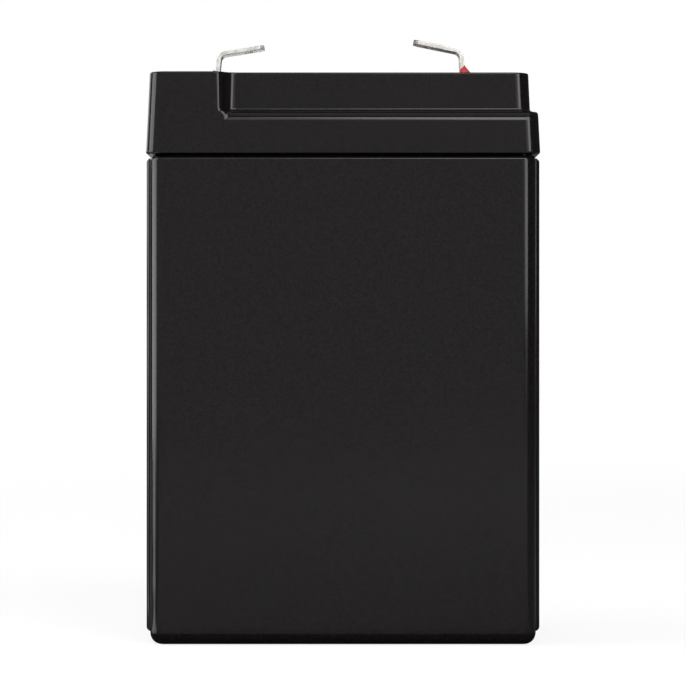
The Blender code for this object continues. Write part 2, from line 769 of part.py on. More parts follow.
def meniscus(side, stem, height):
    """The resin that climbs to a height round a blade's stem, drawn out to the blade's width."""
    level = LID_TOP - RESIN_SINK
    near = BLADE_WIDTH / 2 + GAP + MENISCUS_WALL
    profile = []
    for angle in reversed(arc(MENISCUS_STEPS)):
        spread = 1 - math.sin(angle)
        climb = 1 - math.cos(angle)
        profile.append((near + MENISCUS_REACH * spread, level + height * climb))
    bm = bmesh.new()
    rings = []
    squeeze = (BLADE_THICKNESS - BLADE_WIDTH) / 2
    for radius, z in [*profile, (profile[-1][0], level - GAP)]:
        ring = []
        for i in range(ROUND_SIDES):
            turn = 2 * math.pi * i / ROUND_SIDES
            x = side * stem + (radius + squeeze) * math.cos(turn)
            ring.append(bm.verts.new((x, -side * TERMINAL_OFFSET + radius * math.sin(turn), z)))
        rings.append(ring)
    for upper, lower in zip(rings, rings[1:]):
        for i in range(ROUND_SIDES):
            j = (i + 1) % ROUND_SIDES
            bm.faces.new((upper[i], upper[j], lower[j], lower[i]))
    bm.faces.new(rings[0])
    bm.faces.new(rings[-1])
    return to_mesh(bm, "meniscus")


def make_resin(name, shade, climb):
    """Potting resin that fills a terminal well round the blade's foot and stem."""
    side, sizes = BLADES[name]
    block = terminal_block(side, -GAP, WELL_BOTTOM + GAP, LID_TOP - RESIN_SINK, WELL_CORNER - GAP)
    resin = part(f"resin_{name}", block, shade)
    stem, lean = sizes[0], sizes[1]
    join(resin, "meniscus", meniscus(side, stem - lean / 2, climb))
    slot = bent_strip(side, blade_corners(*sizes, grow=GAP), GAP, [])
    cut(resin, "blade_slot", slot)
    x = side * POST_PLACE
    y = -side * TERMINAL_OFFSET
    top = BLADE_FOOT + BLADE_THICKNESS / 2 + SPIGOT_RISE + GAP
    cut(resin, "spigot_space", rod(SPIGOT_RADIUS + GAP, (x, y, WELL_BOTTOM), (x, y, top)))


# Plates, mats and straps

def plate_pitch():
    """Distance between a negative plate's middle and the next positive plate's middle."""
    return (NEGATIVE_THICKNESS + POSITIVE_THICKNESS) / 2 + MAT_THICKNESS + 2 * GAP


def plate_places(cell, count):
    pitch = 2 * plate_pitch()
    return [cell_centre(cell) + (i - (count - 1) / 2) * pitch for i in range(count)]


def fold_centre():
    """Height of the middle of a mat's fold."""
    return PLATE_REST + POSITIVE_THICKNESS / 2 + GAP + MAT_THICKNESS


def make_plate_group(polarity, cell):
    """Plates of one polarity in one cell, their lugs, the strap cast over them, and its riser or post."""
    negative = polarity == "negative"
    count = NEGATIVE_COUNT if negative else NEGATIVE_COUNT - 1
    thickness = NEGATIVE_THICKNESS if negative else POSITIVE_THICKNESS
    bottom = PLATE_REST if negative else fold_centre() - PLATE_IN_FOLD * POSITIVE_THICKNESS
    rear = negative != (cell == 2)
    y = LUG_PLACE if rear else -LUG_PLACE
    places = plate_places(cell, count)
    outer_end = (negative and cell == 1) or (not negative and cell == 3)
    side = -1 if negative else 1
    ends = [places[0] - thickness / 2, places[-1] + thickness / 2]
    if not outer_end:
        ends[0 if negative else 1] = cell_centre(cell) + side * (CELL_LENGTH / 2 - 2 * GAP)
    half = LUG_WIDTH / 2 + STRAP_MARGIN
    strap_low = (ends[0], y - half, STRAP_HEIGHT)
    strap_high = (ends[1], y + half, STRAP_HEIGHT + STRAP_THICKNESS)
    strap = box(strap_low, strap_high, corner=STRAP_MARGIN)
    group = part(f"{polarity}_plates_{cell}", strap, "lead_grey" if negative else "oxide_brown")
    for number, x in enumerate(places, start=1):
        low = (x - thickness / 2, -PLATE_WIDTH / 2, bottom)
        high = (x + thickness / 2, PLATE_WIDTH / 2, PLATE_TOP)
        join(group, f"plate_{number}", box(low, high))
        low = (x - thickness / 2 + GAP / 2, y - LUG_WIDTH / 2, PLATE_TOP - STRAP_MARGIN)
        high = (x + thickness / 2 - GAP / 2, y + LUG_WIDTH / 2, STRAP_HEIGHT + STRAP_MARGIN)
        join(group, f"lug_{number}", box(low, high))
    if outer_end:
        add_post(group, side)
    else:
        add_riser(group, cell, side, y)


def add_riser(group, cell, side, y):
    """The lug that stands up by the partition and is welded through it to the next cell's."""
    wall = cell_centre(cell) + side * (CELL_LENGTH / 2 - GAP)
    inner = wall - side * RISER_THICKNESS
    ends = sorted((wall, inner))
    half = LUG_WIDTH / 2
    low = (ends[0], y - half, STRAP_HEIGHT + STRAP_MARGIN)
    high = (ends[1], y + half, STRAP_HEIGHT + RISER_HEIGHT)
    join(group, "riser", box(low, high))
    height = STRAP_HEIGHT + WELD_HEIGHT
    meeting = cell_centre(cell) + side * (CELL_LENGTH / 2 + PARTITION / 2 - GAP / 2)
    start = (wall - side * RISER_THICKNESS / 2, y, height)
    join(group, "weld", rod(WELD_RADIUS, start, (meeting, y, height)))


def add_post(group, side):
    """The post that carries the terminal, on a flag of the strap, with a spigot for the blade's foot."""
    x = side * POST_PLACE
    y = -side * TERMINAL_OFFSET
    strap_y = -side * LUG_PLACE
    ends = sorted((y + side * FLAG_HALF, strap_y))
    low = (x - FLAG_HALF, ends[0], STRAP_HEIGHT + GAP)
    high = (x + FLAG_HALF, ends[1], STRAP_HEIGHT + STRAP_THICKNESS - GAP)
    join(group, "flag", box(low, high, corner=STRAP_MARGIN))
    start = (x, y, STRAP_HEIGHT + STRAP_THICKNESS / 2)
    join(group, "post", rod(POST_RADIUS, start, (x, y, WELL_BOTTOM)))
    top = BLADE_FOOT + BLADE_THICKNESS / 2 + SPIGOT_RISE
    join(group, "spigot", rod(SPIGOT_RADIUS, (x, y, WELL_BOTTOM - GAP), (x, y, top), BORE_SIDES))


def make_mat(cell, number, x):
    """A glass mat folded under one positive plate: an open strip along its middle line, thickened."""
    radius = (POSITIVE_THICKNESS + MAT_THICKNESS) / 2 + GAP
    top = PLATE_TOP + MAT_OVERHANG
    line = [(-radius, top)]
    line += [(-radius * math.cos(a), fold_centre() - radius * math.sin(a)) for a in arc(FOLD_STEPS, math.pi)]
    line.append((radius, top))
    bm = bmesh.new()
    front = [bm.verts.new((u, -MAT_WIDTH / 2, z)) for u, z in line]
    rear = [bm.verts.new((u, MAT_WIDTH / 2, z)) for u, z in line]
    for i in range(len(line) - 1):
        bm.faces.new((front[i], front[i + 1], rear[i + 1], rear[i]))
    mat = part(f"separator_{cell}_{number}", to_mesh(bm, "mat"), "glass_mat")
    mat.location.x = x
    thicken = mat.modifiers.new("thickness", "SOLIDIFY")
    thicken.thickness = MAT_THICKNESS
    thicken.offset = 0
    thicken.use_even_offset = True


def make_battery():
    make_container()
    make_lid()
    make_vent_cover()
    for cell in (1, 2, 3):
        make_valve_cap(cell)
        make_plate_group("negative", cell)
        make_plate_group("positive", cell)
        for number, x in enumerate(plate_places(cell, NEGATIVE_COUNT - 1), start=1):
            make_mat(cell, number, x)
    make_terminal("negative")
    make_resin("negative", "resin_dark", NEGATIVE_MENISCUS)
    make_terminal("positive")
    make_resin("positive", "resin_red", POSITIVE_MENISCUS)


make_battery()
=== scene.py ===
import math

import bmesh
import bpy
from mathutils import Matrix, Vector


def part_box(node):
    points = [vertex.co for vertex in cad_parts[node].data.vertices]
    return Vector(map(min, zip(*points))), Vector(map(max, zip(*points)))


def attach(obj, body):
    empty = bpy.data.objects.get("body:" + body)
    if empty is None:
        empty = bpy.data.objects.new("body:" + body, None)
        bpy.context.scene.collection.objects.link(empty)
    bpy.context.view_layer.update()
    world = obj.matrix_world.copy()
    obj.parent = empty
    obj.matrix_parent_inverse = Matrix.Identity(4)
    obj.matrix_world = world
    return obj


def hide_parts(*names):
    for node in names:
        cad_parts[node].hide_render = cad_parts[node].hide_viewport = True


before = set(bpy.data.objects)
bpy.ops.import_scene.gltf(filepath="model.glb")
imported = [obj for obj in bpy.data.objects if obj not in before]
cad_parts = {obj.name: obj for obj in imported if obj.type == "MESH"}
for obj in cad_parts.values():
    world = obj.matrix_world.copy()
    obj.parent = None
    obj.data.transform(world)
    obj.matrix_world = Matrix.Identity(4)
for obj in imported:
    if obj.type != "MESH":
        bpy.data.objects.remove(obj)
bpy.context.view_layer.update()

# Camera: level, square to the front, at the height and scale of the photograph
PHOTO_SIDE = 686
FRONT_SCALE = 5660.0
CAMERA_DISTANCE = 0.540
CAMERA_HEIGHT = 0.0534
SENSOR_MM = 36.0
CAMERA_CLIP = (0.01, 50)

# Case
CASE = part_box("container")
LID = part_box("lid")
FRONT = CASE[0].y
MIDDLE = Vector((0, 0, LID[1].z / 2))

# Shading of copied parts
WELD = 3e-7
FLAT_ANGLE = math.radians(0.4)
SHARP_ANGLE = math.radians(32)
NORMAL_WEIGHT = 100


# Node helpers

def new_material(name):
    """A material with nothing but its Principled shader and output."""
    material = bpy.data.materials.new(name)
    material.use_nodes = True
    tree = material.node_tree
    return material, tree, tree.nodes["Principled BSDF"]


def add(tree, kind, settings=None, **values):
    """A node of one kind, with its settings and the values of its named inputs."""
    node = tree.nodes.new(kind)
    for name, value in (settings or {}).items():
        setattr(node, name, value)
    for name, value in values.items():
        node.inputs[name.replace("_", " ")].default_value = value
    return node


def object_space(tree, scale=(1, 1, 1)):
    """Object coordinates, stretched along an axis by a scale."""
    place = add(tree, "ShaderNodeTexCoord")
    mapping = add(tree, "ShaderNodeMapping", Scale=scale)
    tree.links.new(place.outputs["Object"], mapping.inputs["Vector"])
    return mapping.outputs["Vector"]


def noise(tree, vector, scale, detail=3.0, roughness=0.5):
    texture = add(tree, "ShaderNodeTexNoise", Scale=scale, Detail=detail, Roughness=roughness)
    tree.links.new(vector, texture.inputs["Vector"])
    return texture.outputs["Fac"]


def spread(tree, value, low, high, start=0.3, end=0.7):
    """Maps a texture's middle range to a range of plain values."""
    node = add(tree, "ShaderNodeMapRange", From_Min=start, From_Max=end, To_Min=low, To_Max=high)
    tree.links.new(value, node.inputs["Value"])
    return node.outputs["Result"]


def blend_colours(tree, value, first, second):
    node = add(tree, "ShaderNodeMix", {"data_type": "RGBA"})
    node.inputs["A"].default_value = (*first, 1)
    node.inputs["B"].default_value = (*second, 1)
    tree.links.new(value, node.inputs["Factor"])
    return node.outputs["Result"]


def bump(tree, height, strength, distance, normal=None):
    node = add(tree, "ShaderNodeBump", Strength=strength, Distance=distance)
    tree.links.new(height, node.inputs["Height"])
    if normal:
        tree.links.new(normal, node.inputs["Normal"])
    return node.outputs["Normal"]


# Materials

PLASTIC_DARK = (0.0032, 0.0020, 0.0026)
PLASTIC_LIGHT = (0.0100, 0.0084, 0.0092)
PLASTIC_IOR = 1.40
TIN_STREAK = 0.2
RESIN_COAT = 0.25
RESIN_COAT_ROUGHNESS = 0.12


def case_plastic():
    """Black moulded ABS: a fine sparked grain, with faint patches that shine more or less."""
    material, tree, shader = new_material("case_plastic")
    vector = object_space(tree)
    grain = noise(tree, vector, 3000, 3, 0.7)
    flecks = spread(tree, grain, 0, 1, 0.35, 0.65)
    colour = blend_colours(tree, flecks, PLASTIC_DARK, PLASTIC_LIGHT)
    tree.links.new(colour, shader.inputs["Base Color"])
    patches = spread(tree, noise(tree, vector, 70, 3), 0.10, 0.14)
    tree.links.new(patches, shader.inputs["Roughness"])
    swell = noise(tree, vector, 90, 1)
    fine = bump(tree, grain, 0.16, 0.00002)
    tree.links.new(bump(tree, swell, 0.10, 0.00006, fine), shader.inputs["Normal"])
    shader.inputs["IOR"].default_value = PLASTIC_IOR
    return material


def tinned_brass(name, bright, tarnished, limits, roughness, metallic):
    """Tin plate on brass: fine rolling lines, and tarnish that covers more or less of it."""
    material, tree, shader = new_material(name)
    vector = object_space(tree)
    lines = noise(tree, object_space(tree, (1, 14, 1)), 900, 4, 0.6)
    tarnish = spread(tree, noise(tree, vector, 620, 5, 0.6), 0, 1, *limits)
    tree.links.new(blend_colours(tree, tarnish, bright, tarnished), shader.inputs["Base Color"])
    shader.inputs["Metallic"].default_value = metallic
    streaks = spread(tree, lines, roughness, roughness + TIN_STREAK)
    tree.links.new(streaks, shader.inputs["Roughness"])
    pits = noise(tree, vector, 2600, 3, 0.7)
    fine = bump(tree, pits, 0.15, 0.00004)
    tree.links.new(bump(tree, lines, 0.12, 0.00004, fine), shader.inputs["Normal"])
    return material


def potting_resin(name, body, tint, roughness):
    """Poured resin: glossy, slightly uneven, a little lighter in random clouds."""
    material, tree, shader = new_material(name)
    vector = object_space(tree)
    clouds = spread(tree, noise(tree, vector, 480, 4), 0, 1)
    tree.links.new(blend_colours(tree, clouds, body, tint), shader.inputs["Base Color"])
    haze = spread(tree, noise(tree, vector, 900, 2), roughness, roughness + 0.12)
    tree.links.new(haze, shader.inputs["Roughness"])
    tree.links.new(bump(tree, noise(tree, vector, 700, 2), 0.25, 0.00012), shader.inputs["Normal"])
    shader.inputs["Coat Weight"].default_value = RESIN_COAT
    shader.inputs["Coat Roughness"].default_value = RESIN_COAT_ROUGHNESS
    return material


def cap_rubber():
    """Dull black rubber with a little dust."""
    material, tree, shader = new_material("cap_rubber")
    vector = object_space(tree)
    dust = spread(tree, noise(tree, vector, 700, 5), 0, 1, 0.5, 0.75)
    colour = blend_colours(tree, dust, (0.012, 0.012, 0.013), (0.030, 0.029, 0.028))
    tree.links.new(colour, shader.inputs["Base Color"])
    wear = spread(tree, noise(tree, vector, 300, 3), 0.62, 0.78)
    tree.links.new(wear, shader.inputs["Roughness"])
    tree.links.new(bump(tree, noise(tree, vector, 4200, 3), 0.3, 0.00003), shader.inputs["Normal"])
    return material


def pasted_plate(name, light, dark, metallic):
    """Lead paste in its grid: granular, with the grid's squares just showing through."""
    material, tree, shader = new_material(name)
    vector = object_space(tree)
    grid = add(tree, "ShaderNodeTexBrick", {"offset": 0.0}, Scale=260.0)
    grid.inputs["Mortar Size"].default_value = 0.03
    grid.inputs["Color1"].default_value = (1, 1, 1, 1)
    grid.inputs["Color2"].default_value = (1, 1, 1, 1)
    grid.inputs["Mortar"].default_value = (0, 0, 0, 1)
    turned = add(tree, "ShaderNodeMapping")
    turned.inputs["Rotation"].default_value = (math.pi / 2, 0, math.pi / 2)
    tree.links.new(vector, turned.inputs["Vector"])
    tree.links.new(turned.outputs["Vector"], grid.inputs["Vector"])
    grains = noise(tree, vector, 1800, 6, 0.7)
    colour = blend_colours(tree, spread(tree, grains, 0, 1), dark, light)
    tree.links.new(colour, shader.inputs["Base Color"])
    shader.inputs["Metallic"].default_value = metallic
    tree.links.new(spread(tree, grains, 0.55, 0.85), shader.inputs["Roughness"])
    fine = bump(tree, grains, 0.5, 0.00008)
    tree.links.new(bump(tree, grid.outputs["Color"], 0.4, 0.00015, fine), shader.inputs["Normal"])
    return material


def glass_mat():
    """White glass mat: a felt of fine fibres."""
    material, tree, shader = new_material("glass_mat")
    fibres = noise(tree, object_space(tree, (1, 9, 1)), 1500, 6, 0.75)
    cross = noise(tree, object_space(tree, (1, 1, 9)), 1500, 6, 0.75)
    strands = spread(tree, fibres, 0, 1)
    colour = blend_colours(tree, strands, (0.70, 0.70, 0.67), (0.84, 0.84, 0.81))
    tree.links.new(colour, shader.inputs["Base Color"])
    tree.links.new(spread(tree, cross, 0.80, 0.95), shader.inputs["Roughness"])
    first = bump(tree, fibres, 0.5, 0.00006)
    tree.links.new(bump(tree, cross, 0.5, 0.00006, first), shader.inputs["Normal"])
    shader.inputs["Sheen Weight"].default_value = 0.2
    return material


PLASTIC = case_plastic()
SHEARED_TIN = tinned_brass(
    "sheared_tin", (0.84, 0.825, 0.79), (0.60, 0.57, 0.52), (0.45, 0.70), 0.26, 0.5,
)
ROLLED_TIN = tinned_brass(
    "rolled_tin", (0.88, 0.87, 0.84), (0.66, 0.63, 0.58), (0.45, 0.70), 0.10, 0.6,
)
# Painted shade: dark brown on the positive blade's sides and underside, standing in for the black lid's
# reflection, mottled by random tarnish
TIN_PAINTED_DARK = tinned_brass(
    "tin_painted_dark", (0.34, 0.27, 0.22), (0.09, 0.065, 0.05), (0.38, 0.62), 0.22, 0.7,
)
RED_RESIN = potting_resin("red_resin", (0.36, 0.022, 0.018), (0.50, 0.050, 0.040), 0.16)
DARK_RESIN = potting_resin(
    "dark_resin", (0.030, 0.027, 0.018), (0.060, 0.055, 0.036), 0.16,
)
RUBBER = cap_rubber()
LEAD = pasted_plate("lead", (0.30, 0.31, 0.33), (0.16, 0.17, 0.18), 0.6)
OXIDE = pasted_plate("lead_oxide", (0.115, 0.055, 0.038), (0.060, 0.028, 0.020), 0.0)
MAT = glass_mat()


# Pieces

def new_object(name, data):
    """An object in the scene."""
    thing = bpy.data.objects.new(name, data)
    bpy.context.scene.collection.objects.link(thing)
    return thing


def new_piece(name, mesh, node, material):
    """A piece of the visual model that takes a CAD node's place."""
    mesh.materials.append(material)
    piece = new_object(name, mesh)
    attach(piece, "root")
    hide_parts(node)
    return piece


def finish_node(node, material):
    """Gives a hidden or already true CAD node its material."""
    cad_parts[node].data.materials.clear()
    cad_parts[node].data.materials.append(material)


def smooth_copy(node, name, material):
    """A node's own form, welded and shaded smooth across its roundings."""
    bm = bmesh.new()
    bm.from_mesh(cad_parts[node].data)
    bmesh.ops.remove_doubles(bm, verts=bm.verts, dist=WELD)
    bmesh.ops.dissolve_limit(bm, angle_limit=FLAT_ANGLE, verts=bm.verts, edges=bm.edges)
    mesh = bpy.data.meshes.new(name)
    bm.to_mesh(mesh)
    bm.free()
    mesh.shade_smooth()
    mesh.set_sharp_from_angle(angle=SHARP_ANGLE)
    piece = new_piece(name, mesh, node, material)
    weighted = piece.modifiers.new("weighted", "WEIGHTED_NORMAL")
    weighted.keep_sharp = True
    weighted.weight = NORMAL_WEIGHT
    return piece


def blade(end, faces, rolled_or_painted_dark):
    """A terminal: sheared tin, with another material on the faces that a test of their normal picks
    (rolled tin on the negative, painted dark reflection of the black lid on the positive).
    """
    piece = smooth_copy(f"terminal_{end}", f"blade_{end}", SHEARED_TIN)
    piece.data.materials.append(faces)
    for face in piece.data.polygons:
        face.material_index = int(rolled_or_painted_dark(face.normal))


# Faces of the blades that take another material: those that look up or down (rolled tin, negative), and
# all but front and back (painted dark reflection, positive)
LEVEL_FACE = 0.6
FRONT_FACE = 0.85

# Resin
RESIN_SINK = 0.0002
RESIN_EDGE = 0.0001
WELL_CORNER = 0.0012
WELL_MARGIN = 0.0003
STEM_HALF = (0.00034, 0.0023)
STEM_CORNERS = ((1, 1), (-1, 1), (-1, -1), (1, -1))
STEM_TOUCH = 0.00002
SIDE_STEPS = 8
ARC_STEPS = 7
HEAP_STEPS = 9
HEAP_CURVE = 1.3
HEAP_WANDER = 0.05
HEAP_WAVES = 3
HEAP_PHASE = 1.2
HEAP_SHARP_ANGLE = math.radians(50)
# A heap's stem, its climbs and reaches on the right and the left, where its right lies, its tilt
NEGATIVE_HEAP = (
    (-0.02345, 0.0035), (0.0015, 0.00265), (0.0007, 0.0026), math.radians(25), 0.0,
)
POSITIVE_HEAP = (
    (0.02177, -0.0035), (0.00250, 0.0019), (0.0029, 0.0006), math.radians(-40), 0.12,
)


def rounded_box_point(turn, half_x, half_y, corner):
    """A point of a rounded rectangle in the direction of an angle."""
    reach = max(abs(math.cos(turn)) / half_x, abs(math.sin(turn)) / half_y)
    x, y = math.cos(turn) / reach, math.sin(turn) / reach
    over_x = abs(x) - (half_x - corner)
    over_y = abs(y) - (half_y - corner)
    if over_x > 0 and over_y > 0:
        shrink = corner / math.hypot(over_x, over_y)
        x = math.copysign(half_x - corner + over_x * shrink, x)
        y = math.copysign(half_y - corner + over_y * shrink, y)
    return x, y


def stem_outline():
    """Points round a blade's stem with the angle that each faces: four sides, an arc at each corner."""
    points = []
    for number, corner in enumerate(STEM_CORNERS):
        facing = math.pi / 2 * number
        before = STEM_CORNERS[number - 1]
        for step in range(1, SIDE_STEPS):
            share = step / SIDE_STEPS
            x = STEM_HALF[0] * (before[0] + (corner[0] - before[0]) * share)
            y = STEM_HALF[1] * (before[1] + (corner[1] - before[1]) * share)
            points.append((x, y, facing))
        for step in range(ARC_STEPS + 1):
            angle = facing + math.pi / 2 * step / ARC_STEPS
            points.append((STEM_HALF[0] * corner[0], STEM_HALF[1] * corner[1], angle))
    return points


def poured_resin(end, material, heap):
    """Resin poured level in its well, drawn up in a heap round the blade's stem."""
    node = f"resin_{end}"
    name = f"resin_fill_{end}"
    stem, climbs, reaches, heading, tilt = heap
    low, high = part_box(node)
    level = LID[1].z - RESIN_SINK
    middle = ((low.x + high.x) / 2, (low.y + high.y) / 2)
    half = ((high.x - low.x) / 2, (high.y - low.y) / 2)
    heap_points = []
    for x, y, facing in stem_outline():
        right = (1 + math.cos(facing - heading)) / 2
        reach = reaches[1] + (reaches[0] - reaches[1]) * right
        climb = climbs[1] + (climbs[0] - climbs[1]) * right
        climb *= 1 + tilt * x / STEM_HALF[0]
        heap_points.append((x, y, facing, reach, climb))
    turns = [
        math.atan2(y + reach * math.sin(facing), x + reach * math.cos(facing))
        for x, y, facing, reach, _ in heap_points
    ]

    def wall(inset, height):
        ring = []
        for turn in turns:
            x, y = rounded_box_point(turn, half[0] - inset, half[1] - inset, WELL_CORNER - inset)
            ring.append((middle[0] + x, middle[1] + y, height))
        return ring

    def heap_ring(share):
        ring = []
        for x, y, facing, reach, climb in heap_points:
            away = reach * (1 - share) + STEM_TOUCH
            px = stem[0] + x + away * math.cos(facing)
            py = stem[1] + y + away * math.sin(facing)
            px = min(max(px, low.x + WELL_MARGIN), high.x - WELL_MARGIN)
            py = min(max(py, low.y + WELL_MARGIN), high.y - WELL_MARGIN)
            wander = 1 + HEAP_WANDER * math.sin(HEAP_WAVES * facing + HEAP_PHASE)
            ring.append((px, py, level + climb * wander * share ** HEAP_CURVE))
        return ring

    outlines = [wall(0, low.z), wall(0, level - RESIN_EDGE), wall(RESIN_EDGE, level)]
    outlines += [heap_ring(step / HEAP_STEPS) for step in range(HEAP_STEPS + 1)]
    bm = bmesh.new()
    rings = [[bm.verts.new(point) for point in outline] for outline in outlines]
    for lower, upper in zip(rings, rings[1:]):
        for i in range(len(lower)):
            j = (i + 1) % len(lower)
            bm.faces.new((lower[i], lower[j], upper[j], upper[i]))
    bm.faces.new(list(reversed(rings[0])))
    bm.faces.new(rings[-1])
    mesh = bpy.data.meshes.new(name)
    bmesh.ops.recalc_face_normals(bm, faces=bm.faces)
    bm.to_mesh(mesh)
    bm.free()
    mesh.shade_smooth()
    mesh.set_sharp_from_angle(angle=HEAP_SHARP_ANGLE)
    new_piece(name, mesh, node, material)


def dress_parts():
    """Gives every CAD node its piece or its material."""
    smooth_copy("container", "container_case", PLASTIC)
    smooth_copy("lid", "lid_case", PLASTIC)
    smooth_copy("vent_cover", "vent_plate", PLASTIC)
    blade("negative", ROLLED_TIN, lambda normal: abs(normal.z) > LEVEL_FACE)
    # The positive's sides and underside take tin painted dark: a painted reflection of the black lid
    blade("positive", TIN_PAINTED_DARK, lambda normal: abs(normal.y) < FRONT_FACE)
    poured_resin("negative", DARK_RESIN, NEGATIVE_HEAP)
    poured_resin("positive", RED_RESIN, POSITIVE_HEAP)
    for cell in (1, 2, 3):
        finish_node(f"valve_cap_{cell}", RUBBER)
        finish_node(f"negative_plates_{cell}", LEAD)
        finish_node(f"positive_plates_{cell}", OXIDE)
        for number in (1, 2, 3):
            finish_node(f"separator_{cell}_{number}", MAT)


# Studio

FLOOR_SIDE = 2.4
FLOOR_SINK = 0.0001
FLOOR_WHITE = (0.50, 0.50, 0.50)
# Painted shade: the floor's colour where reflections see it near the foot and to the sides
FLOOR_PAINTED_SHADE = (0.03, 0.03, 0.03)
FLOOR_GLOW = 1.0
FLOOR_LIFT = 0.64
FLOOR_SHADOW = 0.45
SHADOW_REACH = (0.2, 0.9)
CONTACT_REACH = (0.010, 0.032)
DIM_SLANT = 1.0
DIM_START = (0.015, 0.045)
DIM_SHARE = 0.66
BACKDROP_START = (0.7, 0.9)
BACKDROP_WEDGE = 3.5
ROOM_FRONT = 0.472
ROOM_SIDE = 0.05
ROOM_REAR = 0.3
FRONT_CONE = (48, 40)
FRONT_AXIS = (-0.40, -0.917, 0.0)
REAR_CONE = (16, 9)
REAR_AXIS = (-0.208, 0.978, 0.0)


def larger(tree, first, second):
    node = add(tree, "ShaderNodeMath", {"operation": "MAXIMUM"})
    tree.links.new(first, node.inputs[0])
    tree.links.new(second, node.inputs[1])
    return node.outputs[0]


def times(tree, first, second):
    node = add(tree, "ShaderNodeMath", {"operation": "MULTIPLY"})
    tree.links.new(first, node.inputs[0])
    if isinstance(second, float):
        node.inputs[1].default_value = second
    else:
        tree.links.new(second, node.inputs[1])
    return node.outputs[0]


def ramp(tree, value, limits, low, high):
    """A smooth step from low to high between two limits."""
    node = add(
        tree, "ShaderNodeMapRange", {"interpolation_type": "SMOOTHSTEP"},
        From_Min=limits[0], From_Max=limits[1], To_Min=low, To_Max=high,
    )
    tree.links.new(value, node.inputs["Value"])
    return node.outputs["Result"]


def floor_material():
    """White and matt, with the battery's soft shadow near it.

    The camera sees it fade into the white backdrop. Reflections see painted shade on it: a painted
    contact shadow at the foot and a darker floor to the sides; they see it as the lit backdrop in a
    wedge far behind.
    """
    material, tree, shader = new_material("floor_white")
    tree.nodes.remove(shader)
    place = object_space(tree)
    parts = add(tree, "ShaderNodeSeparateXYZ")
    tree.links.new(place, parts.inputs[0])
    aside = add(tree, "ShaderNodeMath", {"operation": "ABSOLUTE"})
    tree.links.new(parts.outputs["X"], aside.inputs[0])
    path = add(tree, "ShaderNodeLightPath")

    # Painted shade for reflections alone: a painted contact shadow near the foot, and the floor darker
    # to the sides
    reach = add(tree, "ShaderNodeVectorMath", {"operation": "ABSOLUTE"})
    tree.links.new(place, reach.inputs[0])
    clear = add(tree, "ShaderNodeVectorMath", {"operation": "SUBTRACT"})
    tree.links.new(reach.outputs[0], clear.inputs[0])
    clear.inputs[1].default_value = (CASE[1].x, CASE[1].y, 0)
    gap = add(tree, "ShaderNodeSeparateXYZ")
    tree.links.new(clear.outputs[0], gap.inputs[0])
    nearest = larger(tree, gap.outputs["X"], gap.outputs["Y"])
    painted_contact_shadow = ramp(tree, nearest, CONTACT_REACH, 1.0, 0.0)
    sideways = add(tree, "ShaderNodeMath", {"operation": "MULTIPLY_ADD"})
    tree.links.new(aside.outputs[0], sideways.inputs[0])
    sideways.inputs[1].default_value = DIM_SLANT
    tree.links.new(parts.outputs["Y"], sideways.inputs[2])
    dim = larger(tree, painted_contact_shadow, ramp(tree, sideways.outputs[0], DIM_START, 0.0, DIM_SHARE))
    painted_shade_share = times(tree, path.outputs["Is Glossy Ray"], dim)
    matt = add(tree, "ShaderNodeBsdfDiffuse")
    tree.links.new(blend_colours(tree, painted_shade_share, FLOOR_WHITE, FLOOR_PAINTED_SHADE), matt.inputs["Color"])

    # Lifted towards white for the camera, so that the shadow stays pale
    lift = add(tree, "ShaderNodeEmission")
    lifted = add(tree, "ShaderNodeAddShader")
    tree.links.new(times(tree, path.outputs["Is Camera Ray"], FLOOR_LIFT), lift.inputs["Strength"])
    tree.links.new(matt.outputs[0], lifted.inputs[0])
    tree.links.new(lift.outputs[0], lifted.inputs[1])

    # White far off for the camera, and in the wedge behind for reflections
    distance = add(tree, "ShaderNodeVectorMath", {"operation": "LENGTH"})
    tree.links.new(place, distance.inputs[0])
    plain = ramp(tree, distance.outputs["Value"], SHADOW_REACH, 1 - FLOOR_SHADOW, 1.0)
    seen = times(tree, path.outputs["Is Camera Ray"], plain)
    wedge = add(tree, "ShaderNodeMath", {"operation": "SUBTRACT"})
    tree.links.new(parts.outputs["Y"], wedge.inputs[0])
    tree.links.new(times(tree, aside.outputs[0], BACKDROP_WEDGE), wedge.inputs[1])
    behind = ramp(tree, wedge.outputs[0], BACKDROP_START, 0.0, 1.0)
    mirrored = larger(tree, path.outputs["Is Glossy Ray"], path.outputs["Is Transmission Ray"])
    glow = add(tree, "ShaderNodeEmission", Strength=FLOOR_GLOW)
    mix = add(tree, "ShaderNodeMixShader")
    tree.links.new(larger(tree, seen, times(tree, mirrored, behind)), mix.inputs["Fac"])
    tree.links.new(lifted.outputs[0], mix.inputs[1])
    tree.links.new(glow.outputs[0], mix.inputs[2])
    tree.links.new(mix.outputs[0], tree.nodes["Material Output"].inputs["Surface"])
    return material


def make_floor():
    bm = bmesh.new()
    bmesh.ops.create_grid(bm, x_segments=1, y_segments=1, size=FLOOR_SIDE / 2)
    mesh = bpy.data.meshes.new("floor")
    bm.to_mesh(mesh)
    bm.free()
    mesh.materials.append(floor_material())
    floor = new_object("floor", mesh)
    floor.location.z = -FLOOR_SINK


def cone(tree, direction, axis, angles, level):
    """A soft-edged round area of the room about an axis, fading between two angles in degrees."""
    along = add(tree, "ShaderNodeVectorMath", {"operation": "DOT_PRODUCT"})
    tree.links.new(direction, along.inputs[0])
    along.inputs[1].default_value = axis
    limits = [math.cos(math.radians(angle)) for angle in angles]
    return ramp(tree, along.outputs["Value"], limits, 0, level)


